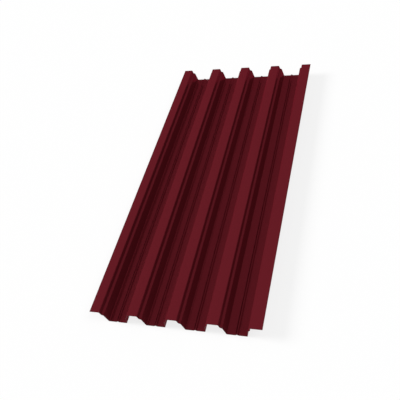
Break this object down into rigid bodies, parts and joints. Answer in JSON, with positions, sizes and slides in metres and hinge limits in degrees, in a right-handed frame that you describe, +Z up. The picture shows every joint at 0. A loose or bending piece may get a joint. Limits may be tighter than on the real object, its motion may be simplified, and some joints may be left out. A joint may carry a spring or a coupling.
{
  "type": "profiled steel sheet",
  "caption": "Roll-formed trapezoidal steel sheet with stepped webs, ribbed troughs and a lap flange on each side.",
  "frame": {"origin": "centre of the sheet's plan, on the plane of the undersides of the trough flanges", "axes": "+X across the waves to the wider lap flange, +Y along the waves, +Z up from the troughs to the crests"},
  "size_m": [0.8, 1.75, 0.075],
  "materials": {
    "red_coated_steel": "satin wine-red polyester coat on galvanised steel"
  },
  "bodies": {
    "root": {"profiled_sheet": "red_coated_steel"}
  },
  "joints": []
}
